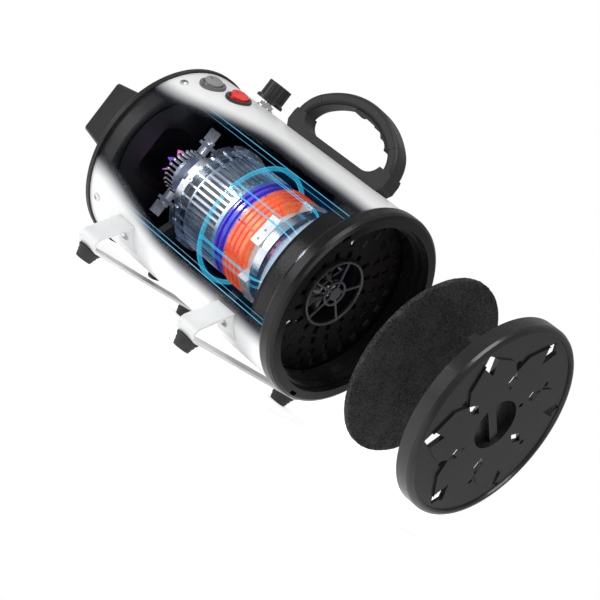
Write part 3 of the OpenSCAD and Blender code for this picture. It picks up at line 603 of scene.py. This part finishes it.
    def striped(self, name: str, count: int, first: Finish, second_colour: Colour) -> bpy.types.Material:
        """Builds a material whose colour changes in bars around the axis.

        Args:
            name: Name of the material.
            count: Number of bars.
            first: Finish of the metal between the bars.
            second_colour: Colour of the bars.

        Returns:
            The material.
        """
        material = self.material(first).copy()
        material.name = name
        graph = Graph(material.node_tree)
        shader = material.node_tree.nodes["Principled BSDF"]
        base = graph.node("ShaderNodeTexCoord").outputs["Object"]
        polar = graph.group(self.effects.polar, Vector=base)
        bars = graph.remap(graph.math("SINE", graph.math("MULTIPLY", polar.outputs["Angle"], float(count))),
                           -0.15, 0.15)
        was = shader.inputs["Base Color"].links[0].from_socket
        graph.put(shader.inputs["Base Color"], graph.mix(bars, was, second_colour))
        lit = shader.inputs["Emission Color"].links[0].from_socket
        graph.put(shader.inputs["Emission Color"], graph.mix(bars, lit, BLACK))
        return material

    def dress(self, names: Sequence[str], material: bpy.types.Material) -> None:
        """Puts a material on CAD nodes.

        Args:
            names: Nodes to dress.
            material: What they get.
        """
        for name in names:
            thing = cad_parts[name]
            for item in thing.material_slots:
                item.material = material
            LOG.info("dressed %s in %s", name, material.name)


def soften(names: Sequence[str], width: float, segments: int = 2) -> None:
    """Rounds the sharp edges of CAD nodes with a modifier.

    Args:
        names: Nodes to round.
        width: Width of the rounding, in metres.
        segments: Steps across it.
    """
    for name in names:
        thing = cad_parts[name]
        bevel = thing.modifiers.new("soft_edges", "BEVEL")
        bevel.width = width
        bevel.segments = segments
        bevel.limit_method = "ANGLE"
        bevel.angle_limit = math.radians(40)
        bevel.harden_normals = False


@dataclass
class Housing:
    """White tube, its two black ends, the outlet duct, the intake grille and their fasteners."""

    painter: Painter
    paint: Finish = Finish("white_paint", (0.80, 0.80, 0.80), (0.74, 0.745, 0.75), 0.34, 0.05, coat=0.25,
                           grain=1800.0, relief=0.000006, wear=0.05,
                           wear_colour=(0.55, 0.55, 0.55), see_through=True)
    cover: Finish = Finish("cover_plastic", (0.010, 0.010, 0.011), (0.016, 0.016, 0.017), 0.4, 0.08,
                           grain=2200.0, relief=0.00002, wear=0.15, wear_colour=(0.05, 0.05, 0.05),
                           specular=0.3)
    ring: Finish = Finish("ring_plastic", (0.003, 0.003, 0.0035), (0.005, 0.005, 0.0055), 0.26, 0.06,
                          grain=2400.0, relief=0.000012, wear=0.1, wear_colour=(0.03, 0.03, 0.03),
                          specular=0.28)
    # Near black, darker than plastic: the part's own black plus painted shade inside the rear ring
    inner: Finish = Finish("intake_plastic", (0.0012, 0.0012, 0.0015), (0.002, 0.002, 0.0025), 0.55, 0.1,
                           grain=2000.0, wear=0.05, wear_colour=(0.015, 0.015, 0.015), specular=0.2)
    wire: Finish = Finish("guard_wire", (0.06, 0.062, 0.068), (0.11, 0.112, 0.12), 0.38, 0.1, metal=0.3,
                          grain=2500.0, wear=0.2)
    screw: Finish = Finish("bright_screw", (0.55, 0.55, 0.57), (0.68, 0.68, 0.7), 0.28, 0.1, metal=1.0,
                           surface=Surface.TURNED, grain=3000.0, relief=0.00001, wear=0.3,
                           wear_colour=(0.25, 0.25, 0.26))
    seal: Finish = Finish("gasket_rubber", (0.02, 0.02, 0.02), (0.03, 0.03, 0.03), 0.75, 0.1,
                          grain=1800.0, relief=0.00003)

    def build(self) -> None:
        """Dresses the housing."""
        paint = self.painter.material
        self.painter.dress(["barrel_shell"], paint(self.paint))
        self.painter.dress(["front_cover", "outlet_port"], paint(self.cover))
        self.painter.dress(["rear_ring"], paint(self.ring))
        self.painter.dress(["intake_grille", "intake_cone"], paint(self.inner))
        self.painter.dress(["fan_guard"], paint(self.wire))
        self.painter.dress(["cover_screws", "ring_screws"], paint(self.screw))
        self.painter.dress(["port_gasket", "cord_gland"], paint(self.seal))


@dataclass
class Handle:
    """Carrying handle with its base, two end pieces, grip and soft pad."""

    painter: Painter
    plastic: Finish = Finish("handle_plastic", (0.014, 0.014, 0.0145), (0.021, 0.021, 0.0215), 0.46, 0.1,
                             grain=1500.0, relief=0.00006, wear=0.25, wear_colour=(0.06, 0.06, 0.06),
                             specular=0.3)
    pad: Finish = Finish("grip_rubber", (0.009, 0.009, 0.009), (0.014, 0.014, 0.014), 0.6, 0.12,
                         grain=1300.0, relief=0.00007, wear=0.3,
                         wear_colour=(0.04, 0.04, 0.04))

    def build(self) -> None:
        """Dresses the handle and rounds its moulded edges."""
        paint = self.painter.material
        shells = ["handle_base", "handle_front_clip", "handle_grip", "handle_rear_clip"]
        self.painter.dress(shells, paint(self.plastic))
        self.painter.dress(["grip_pad"], paint(self.pad))
        self.painter.dress(["handle_screws"], paint(Housing.screw))
        soften(["handle_base", "grip_pad"], 0.0012)


@dataclass
class Legs:
    """Bent steel straps and the rubber feet under them."""

    painter: Painter
    paint: Finish = Finish("leg_paint", (0.66, 0.66, 0.66), (0.6, 0.603, 0.607), 0.36, 0.05, coat=0.2,
                           grain=1700.0, relief=0.000008, wear=0.12,
                           wear_colour=(0.5, 0.5, 0.5))
    rubber: Finish = Finish("foot_rubber", (0.010, 0.010, 0.010), (0.017, 0.017, 0.017), 0.62, 0.12,
                            grain=1400.0, relief=0.00006, wear=0.4,
                            wear_colour=(0.06, 0.058, 0.055))

    def build(self) -> None:
        """Dresses the legs and rounds the sheet's edges."""
        paint = self.painter.material
        self.painter.dress(["front_leg", "rear_leg"], paint(self.paint))
        self.painter.dress(["rubber_feet"], paint(self.rubber))
        self.painter.dress(["leg_screws", "foot_screws"], paint(Housing.screw))
        soften(["front_leg", "rear_leg"], 0.0005)
        soften(["rubber_feet"], 0.0009)


@dataclass
class Controls:
    """Two rocker switches, the speed knob with its nut, and the board behind them."""

    painter: Painter
    bezel: Finish = Finish("bezel_plastic", (0.02, 0.02, 0.021), (0.03, 0.03, 0.031), 0.4, 0.08,
                           grain=2400.0, relief=0.00002, wear=0.2, wear_colour=(0.09, 0.09, 0.09))
    bezel_grey: Finish = Finish("bezel_grey_plastic", (0.12, 0.12, 0.122), (0.15, 0.15, 0.152), 0.4, 0.08,
                                grain=2400.0, relief=0.00002, wear=0.2)
    red: Finish = Finish("red_rocker", (0.72, 0.012, 0.008), (0.6, 0.008, 0.006), 0.22, 0.06, coat=0.5,
                         grain=1600.0, relief=0.00001, wear=0.1, wear_colour=(0.75, 0.2, 0.15),
                         glow=Glow.MOTTLED, glow_colour=(1.0, 0.03, 0.01), glow_second=(0.5, 0.01, 0.01),
                         glow_power=0.08)
    grey: Finish = Finish("grey_rocker", (0.2, 0.2, 0.205), (0.26, 0.26, 0.265), 0.3, 0.08, coat=0.3,
                          grain=1800.0, relief=0.00001, wear=0.2)
    knob: Finish = Finish("knob_plastic", (0.010, 0.010, 0.011), (0.018, 0.018, 0.019), 0.36, 0.1,
                          grain=2000.0, relief=0.00002, wear=0.35, wear_colour=(0.07, 0.07, 0.07))
    nut: Finish = Finish("plated_nut", (0.7, 0.7, 0.72), (0.8, 0.8, 0.81), 0.2, 0.08, metal=1.0,
                         grain=2600.0, relief=0.000008, wear=0.3, wear_colour=(0.4, 0.38, 0.34))
    board: Finish = Finish("board_lacquer", (0.004, 0.02, 0.009), (0.006, 0.03, 0.013), 0.4, 0.08,
                           grain=900.0, relief=0.00002, wear=0.1)

    def build(self) -> None:
        """Dresses the controls."""
        paint = self.painter.material
        self.painter.dress(["power_bezel"], paint(self.bezel))
        self.painter.dress(["heat_bezel"], paint(self.bezel_grey))
        self.painter.dress(["power_rocker"], paint(self.red))
        self.painter.dress(["heat_rocker"], paint(self.grey))
        self.painter.dress(["speed_knob"], paint(self.knob))
        self.painter.dress(["knob_nut", "speed_control"], paint(self.nut))
        self.painter.dress(["control_board"], paint(self.board))


@dataclass
class Motor:
    """Everything that shows through the see-through side, the spinning parts included."""

    painter: Painter
    # The glow on these finishes is painted light that stands in for the light on the motor's parts
    silver: Finish = Finish("machined_silver", (0.6, 0.64, 0.7), (0.75, 0.78, 0.82), 0.26, 0.08, metal=1.0,
                            surface=Surface.TURNED, grain=1600.0, relief=0.00003, wear=0.2,
                            wear_colour=(0.3, 0.34, 0.42), glow=Glow.MOTTLED, glow_colour=(0.2, 0.24, 0.32),
                            glow_second=(0.03, 0.05, 0.1), glow_power=0.2)
    fins: Finish = Finish("fin_silver", (0.62, 0.68, 0.76), (0.5, 0.58, 0.68), 0.3, 0.1, metal=1.0,
                          surface=Surface.BRUSHED, grain=1800.0, relief=0.00002, wear=0.2,
                          wear_colour=(0.3, 0.4, 0.5), glow=Glow.MOTTLED, glow_colour=(0.22, 0.28, 0.38),
                          glow_second=(0.06, 0.1, 0.18), glow_power=0.3)
    core: Finish = Finish("core_lacquer", (0.012, 0.013, 0.016), (0.02, 0.022, 0.028), 0.38, 0.1, coat=0.3,
                          grain=1100.0, relief=0.00004, wear=0.2)
    alloy: Finish = Finish("cast_alloy", (0.22, 0.24, 0.3), (0.34, 0.36, 0.42), 0.34, 0.1, metal=0.9,
                           grain=900.0, relief=0.00006, wear=0.3,
                           wear_colour=(0.55, 0.6, 0.68), glow=Glow.MOTTLED, glow_colour=(0.16, 0.2, 0.28),
                           glow_second=(0.05, 0.06, 0.1), glow_power=0.8)
    blue: Finish = Finish("blue_former", (0.03, 0.04, 0.5), (0.12, 0.03, 0.42), 0.25, 0.08, coat=0.6,
                          grain=1000.0, relief=0.00002, wear=0.1, glow=Glow.BANDS,
                          glow_colour=(0.04, 0.16, 0.8), glow_second=(0.07, 0.01, 0.3), glow_power=0.4)
    copper: Finish = Finish("orange_coil", (0.9, 0.28, 0.06), (0.75, 0.12, 0.05), 0.32, 0.1, metal=0.35,
                            coat=0.5, surface=Surface.WOUND, grain=1400.0, relief=0.00008, wear=0.1,
                            wear_colour=(0.9, 0.5, 0.1), glow=Glow.MOTTLED, glow_colour=(0.9, 0.24, 0.05),
                            glow_second=(0.7, 0.08, 0.04), glow_power=0.42)
    blocks: Finish = Finish("pale_blocks", (0.72, 0.7, 0.66), (0.8, 0.78, 0.76), 0.4, 0.1,
                            grain=1200.0, relief=0.00003, wear=0.25, wear_colour=(0.45, 0.45, 0.5),
                            glow=Glow.MOTTLED, glow_colour=(0.4, 0.42, 0.45), glow_second=(0.1, 0.12, 0.18),
                            glow_power=0.25)
    holder: Finish = Finish("holder_metal", (0.55, 0.56, 0.6), (0.68, 0.69, 0.73), 0.3, 0.08, metal=1.0,
                            grain=1600.0, relief=0.00002, glow=Glow.MOTTLED, glow_colour=(0.3, 0.32, 0.38),
                            glow_second=(0.1, 0.11, 0.15), glow_power=0.5)
    bars: Finish = Finish("bar_metal", (0.62, 0.62, 0.66), (0.74, 0.74, 0.78), 0.22, 0.06, metal=1.0,
                          surface=Surface.TURNED, grain=2400.0, relief=0.00001, wear=0.1, glow=Glow.MOTTLED,
                          glow_colour=(0.34, 0.35, 0.42), glow_second=(0.14, 0.15, 0.2), glow_power=0.7)
    carbon: Finish = Finish("brush_carbon", (0.02, 0.02, 0.022), (0.04, 0.04, 0.042), 0.6, 0.1, grain=1500.0)
    steel: Finish = Finish("polished_steel", (0.62, 0.64, 0.68), (0.76, 0.78, 0.8), 0.16, 0.06, metal=1.0,
                           surface=Surface.TURNED, grain=2400.0, relief=0.00001, wear=0.1)
    pink: Finish = Finish("pink_spinner", (0.8, 0.1, 0.36), (0.5, 0.06, 0.5), 0.25, 0.08, coat=0.6,
                          grain=900.0, relief=0.00002, wear=0.05, glow=Glow.SWIRL,
                          glow_colour=(0.95, 0.22, 0.5), glow_second=(0.1, 0.08, 0.6), glow_power=0.8)
    # The impeller's part past 0.2005 m from the tube's front is painted near black as shade
    hub: Finish = Finish("pink_hub", (0.75, 0.2, 0.4), (0.5, 0.1, 0.4), 0.28, 0.08, coat=0.5,
                         grain=900.0, relief=0.00002, wear=0.05, glow=Glow.SWIRL,
                         glow_colour=(1.0, 0.42, 0.6), glow_second=(0.3, 0.05, 0.3), glow_power=0.8,
                         glow_reach=0.2005)
    mount: Finish = Finish("mount_rubber", (0.002, 0.0024, 0.004), (0.003, 0.0035, 0.006), 0.7, 0.1,
                           grain=1500.0, relief=0.00004)

    def build(self) -> None:
        """Dresses the motor."""
        paint = self.painter.material
        dress = self.painter.dress
        dress(["stator_ring", "bearing_plate"], paint(self.silver))
        dress(["stator_fins"], paint(self.fins))
        dress(["stator_core", "armature"], paint(self.core))
        dress(["front_bracket", "commutator_skirt"], paint(self.alloy))
        dress(["coil_former"], paint(self.blue))
        dress(["field_coils", "armature_winding"], paint(self.copper))
        dress(["coil_blocks"], paint(self.blocks))
        dress(["brush_holders"], paint(self.holder))
        dress(["brushes"], paint(self.carbon))
        dress(["front_bearing", "rear_bearing", "motor_shaft", "brush_springs", "fan_nut"], paint(self.steel))
        dress(["commutator"], self.painter.striped("commutator_bars", 26, self.bars, (0.01, 0.01, 0.015)))
        dress(["nose_spinner"], paint(self.pink))
        dress(["impeller"], paint(self.hub))
        dress(["motor_mounts"], paint(self.mount))
        dress(["motor_tube"], self.painter.clear_tube())


@dataclass
class FoamFilter:
    """Foam disc that lies in the rear cover, with a torn open-cell surface."""

    painter: Painter
    rings: int = 44
    segments: int = 240
    ragged: float = 0.0006
    edge_round: float = 0.0012

    def _profile(self, radius: float, half: float) -> list[tuple[float, float]]:
        """Radius and offset of each ring of points, from the front's middle to the back's middle.

        Args:
            radius: Outside radius of the disc.
            half: Half its thickness.

        Returns:
            The rings as (radius, offset) pairs.
        """
        flat = [(radius - self.edge_round) * (i / self.rings) ** 0.8 for i in range(1, self.rings + 1)]
        front = [(r, -half) for r in flat]
        corner = [(radius - self.edge_round * (1 - math.sin(a)), -half + self.edge_round * (1 - math.cos(a)))
                  for a in (math.pi / 6, math.pi / 3, math.pi / 2)]
        wall = [(radius, 0.0)]
        back = [(r, -y) for r, y in reversed(front + corner)]
        return front + corner + wall + back

    def build(self) -> bpy.types.Object:
        """Makes the filter and stands it in for its plain CAD disc.

        Returns:
            The filter's object.
        """
        low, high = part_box("foam_filter")
        middle = (low + high) / 2
        radius = (high.x - low.x) / 2 - self.ragged * 1.2
        half = (high.y - low.y) / 2 - self.ragged
        mesh = bmesh.new()
        rows: list[list[bmesh.types.BMVert]] = []
        for ring_radius, offset in self._profile(radius, half):
            row = []
            for i in range(self.segments):
                turn = 2 * math.pi * i / self.segments
                point = Vector((ring_radius * math.sin(turn), offset, ring_radius * math.cos(turn)))
                rough = noise.noise(point * 420.0) * 0.6 + noise.noise(point * 1100.0) * 0.4
                outward = Vector((point.x, 0, point.z)).normalized() if abs(offset) < half * 0.9 else Vector(
                    (0, math.copysign(1.0, offset), 0))
                row.append(mesh.verts.new(middle + point + outward * rough * self.ragged))
            rows.append(row)
        for first, second in zip(rows, rows[1:]):
            for i in range(self.segments):
                j = (i + 1) % self.segments
                mesh.faces.new((first[i], first[j], second[j], second[i]))
        mesh.faces.new(list(reversed(rows[0])))
        mesh.faces.new(rows[-1])
        bmesh.ops.recalc_face_normals(mesh, faces=mesh.faces)
        data = bpy.data.meshes.new("foam_disc")
        mesh.to_mesh(data)
        mesh.free()
        data.materials.append(self.painter.foam())
        thing = bpy.data.objects.new("foam_disc", data)
        bpy.context.scene.collection.objects.link(thing)
        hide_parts("foam_filter")
        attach(thing, "filter")
        LOG.info("made foam_disc with %d faces", len(data.polygons))
        return thing


@dataclass
class RearCover:
    """Pierced cover that lifts off the rear ring."""

    painter: Painter
    plastic: Finish = Finish("cap_plastic", (0.008, 0.008, 0.0085), (0.012, 0.012, 0.0125), 0.27, 0.05,
                             coat=0.15, grain=2600.0, relief=0.00001, wear=0.12,
                             wear_colour=(0.04, 0.04, 0.04), specular=0.38)

    def build(self) -> None:
        """Dresses the cover and rounds its moulded edges."""
        self.painter.dress(["rear_cover"], self.painter.material(self.plastic))
        soften(["rear_cover"], 0.0004)


@dataclass
class Studio:
    """Pale floor, soft lights and the camera."""

    layout: Layout
    lens: float = 107.18
    sensor: float = 36.0
    camera_offset: tuple[float, float, float] = (1.2175, 0.9395, 0.0526)
    camera_right: tuple[float, float, float] = (-0.479774, 0.629677, 0.611002)
    camera_down: tuple[float, float, float] = (-0.319028, 0.52352, -0.79003)

    def camera(self) -> bpy.types.Object:
        """Places the rolled camera behind and to the left of the blower.

        Returns:
            The camera's object.
        """
        data = bpy.data.cameras.new("camera")
        data.lens = self.lens
        data.sensor_width = self.sensor
        data.clip_end = 50.0
        thing = bpy.data.objects.new("camera", data)
        bpy.context.scene.collection.objects.link(thing)
        right = Vector(self.camera_right).normalized()
        up = -Vector(self.camera_down).normalized()
        back = right.cross(up).normalized()
        up = back.cross(right).normalized()
        turn = Matrix((right, up, back)).transposed().to_4x4()
        thing.matrix_world = Matrix.Translation(self.layout.middle + Vector(self.camera_offset)) @ turn
        bpy.context.scene.camera = thing
        return thing

    def area(self, name: str, place: Vector, target: Vector, size: float, power: float,
             colour: Colour = (1.0, 1.0, 1.0)) -> None:
        """Adds a square soft light.

        Args:
            name: Name of the light.
            place: Where it stands.
            target: What it faces.
            size: Its side, in metres.
            power: Its power, in watts.
            colour: Its colour.
        """
        data = bpy.data.lights.new(name, "AREA")
        data.size = size
        data.energy = power
        data.color = colour
        thing = bpy.data.objects.new(name, data)
        bpy.context.scene.collection.objects.link(thing)
        turn = (target - place).to_track_quat("-Z", "Y").to_matrix().to_4x4()
        thing.matrix_world = Matrix.Translation(place) @ turn

    def point(self, name: str, place: Vector, radius: float, power: float, colour: Colour) -> None:
        """Adds a small coloured light inside the tube.

        Args:
            name: Name of the light.
            place: Where it hangs.
            radius: Its radius, in metres.
            power: Its power, in watts.
            colour: Its colour.
        """
        data = bpy.data.lights.new(name, "POINT")
        data.shadow_soft_size = radius
        data.energy = power
        data.color = colour
        thing = bpy.data.objects.new(name, data)
        bpy.context.scene.collection.objects.link(thing)
        thing.location = place

    def world(self) -> None:
        """White surroundings, dimmer as a source of light than as a backdrop."""
        world = bpy.data.worlds.new("studio")
        bpy.context.scene.world = world
        world.use_nodes = True
        graph = Graph(world.node_tree)
        shader = world.node_tree.nodes["Background"]
        path = graph.node("ShaderNodeLightPath")
        strength = graph.remap(path.outputs["Is Camera Ray"], 0.0, 1.0, 0.4, 1.0)
        shader.inputs["Color"].default_value = (1.0, 1.0, 1.0, 1.0)
        graph.put(shader.inputs["Strength"], strength)

    def floor(self) -> None:
        """Round pale floor that fades into the surroundings."""
        reach = 0.62
        mesh = bmesh.new()
        bmesh.ops.create_circle(mesh, cap_ends=True, segments=96, radius=reach)
        data = bpy.data.meshes.new("floor")
        mesh.to_mesh(data)
        mesh.free()
        material = bpy.data.materials.new("floor")
        material.use_nodes = True
        graph = Graph(material.node_tree)
        shader = material.node_tree.nodes["Principled BSDF"]
        base = graph.node("ShaderNodeTexCoord").outputs["Object"]
        away = graph.node("ShaderNodeVectorMath", Vector=base)
        away.operation = "LENGTH"
        graph.put(shader.inputs["Alpha"], graph.remap(away.outputs["Value"], reach * 0.98, 0.18))
        tone = graph.noise(base, 30.0, 3.0)
        graph.put(shader.inputs["Base Color"], graph.mix(tone, (0.93, 0.93, 0.93), (0.96, 0.96, 0.96)))
        shader.inputs["Roughness"].default_value = 0.9
        shader.inputs["Specular IOR Level"].default_value = 0.1
        shader.inputs["Emission Color"].default_value = (1.0, 1.0, 1.0, 1.0)
        shader.inputs["Emission Strength"].default_value = 0.6
        data.materials.append(material)
        thing = bpy.data.objects.new("floor", data)
        bpy.context.scene.collection.objects.link(thing)
        thing.location = (0, self.layout.middle.y, self.layout.floor_z - 0.0005)

    def build(self) -> None:
        """Sets up the whole studio."""
        middle = self.layout.middle
        scene = bpy.context.scene
        scene.view_settings.view_transform = "Standard"
        self.world()
        self.floor()
        self.camera()
        self.area("key", middle + Vector((1.3, 0.5, 1.6)), middle, 1.2, 30.0)
        self.area("rear_fill", middle + Vector((0.2, 2.2, 0.5)), middle + Vector((0, 0.2, 0)), 1.2, 9.0)
        self.area("side_fill", middle + Vector((1.6, -1.2, 0.1)), middle, 1.0, 9.0)
        front = self.layout.shell_front
        self.point("motor_glow", Vector((0.075, front + 0.10, middle.z + 0.02)), 0.01, 0.12, (0.8, 0.9, 1.0))
        LOG.info("lit the studio")


def main() -> None:
    logging.basicConfig(level=logging.INFO, format="%(name)s: %(message)s")
    layout = Layout.measure()
    painter = Painter(Effects(layout))
    steps: list[tuple[str, Callable[[], object]]] = [
        ("studio", Studio(layout).build),
        ("housing", Housing(painter).build),
        ("handle", Handle(painter).build),
        ("legs", Legs(painter).build),
        ("controls", Controls(painter).build),
        ("motor", Motor(painter).build),
        ("foam filter", FoamFilter(painter).build),
        ("rear cover", RearCover(painter).build),
    ]
    for label, step in steps:
        step()
        LOG.info("finished the %s", label)


if __name__ == "__main__":
    main()
